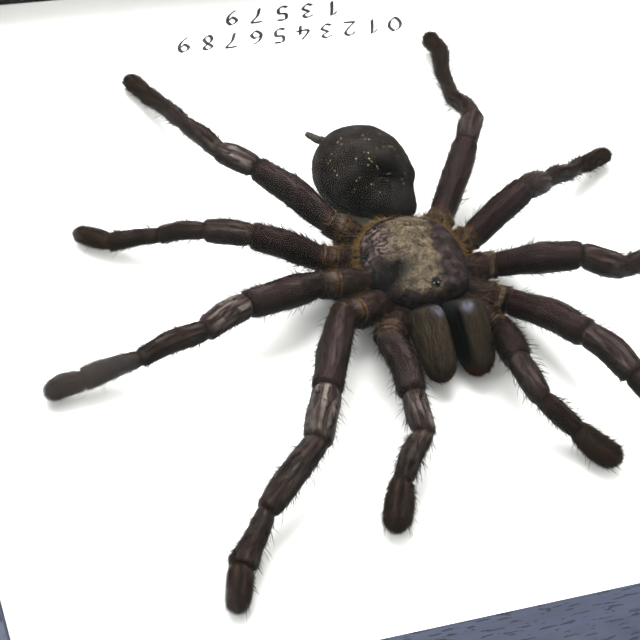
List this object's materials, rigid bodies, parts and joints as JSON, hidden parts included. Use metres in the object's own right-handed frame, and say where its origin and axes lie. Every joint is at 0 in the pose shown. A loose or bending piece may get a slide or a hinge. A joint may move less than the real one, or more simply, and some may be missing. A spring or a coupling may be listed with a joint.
{
  "type": "framed tarantula specimen",
  "caption": "Dried black tarantula spread on a white card behind glass in a black wood-grain shadow-box frame, lying on its back",
  "frame": {"origin": "middle of the frame's outline at the back of the rails, on the surface it lies on", "axes": "+Z out of the glass, -Y towards the spider's head and the top edge when hung, +X towards the spider's left side"},
  "size_m": [0.22, 0.208, 0.03],
  "materials": {
    "rail_wood": "black stained open grain, satin",
    "spacer_black": "matt black strip",
    "clear_glass": "clear picture glass",
    "white_card": "matt white card",
    "backing_board": "brown pressed fibre board",
    "plated_steel": "zinc plated",
    "clear_glue": "clear yellowish glue",
    "worn_carapace": "worn olive brown cuticle with a dark margin and golden hair fringe",
    "dark_cuticle": "near black brown cuticle with short hair, satin"
  },
  "bodies": {
    "root": {"rail_near": "rail_wood", "rail_far": "rail_wood", "rail_left": "rail_wood", "rail_right": "rail_wood", "spacer_near": "spacer_black", "spacer_far": "spacer_black", "spacer_left": "spacer_black", "spacer_right": "spacer_black", "glass": "clear_glass", "mount_card": "white_card", "backing_board": "backing_board", "tab_near_1": "plated_steel", "tab_near_2": "plated_steel", "tab_right_1": "plated_steel", "tab_right_2": "plated_steel", "tab_far_1": "plated_steel", "tab_far_2": "plated_steel", "tab_left_1": "plated_steel", "tab_left_2": "plated_steel", "hanger": "plated_steel", "rivet_left": "plated_steel", "rivet_right": "plated_steel", "glue_pad": "clear_glue", "carapace": "worn_carapace", "abdomen": "dark_cuticle", "pedicel": "dark_cuticle", "chelicera_right": "dark_cuticle", "chelicera_left": "dark_cuticle", "fang_right": "dark_cuticle", "fang_left": "dark_cuticle", "spinneret_right": "dark_cuticle", "spinneret_left": "dark_cuticle", "leg_1_right": "dark_cuticle", "leg_1_left": "dark_cuticle", "leg_2_right": "dark_cuticle", "leg_2_left": "dark_cuticle", "leg_3_right": "dark_cuticle", "leg_3_left": "dark_cuticle", "leg_4_right": "dark_cuticle", "leg_4_left": "dark_cuticle", "palp_right": "dark_cuticle", "palp_left": "dark_cuticle"}
  },
  "joints": []
}
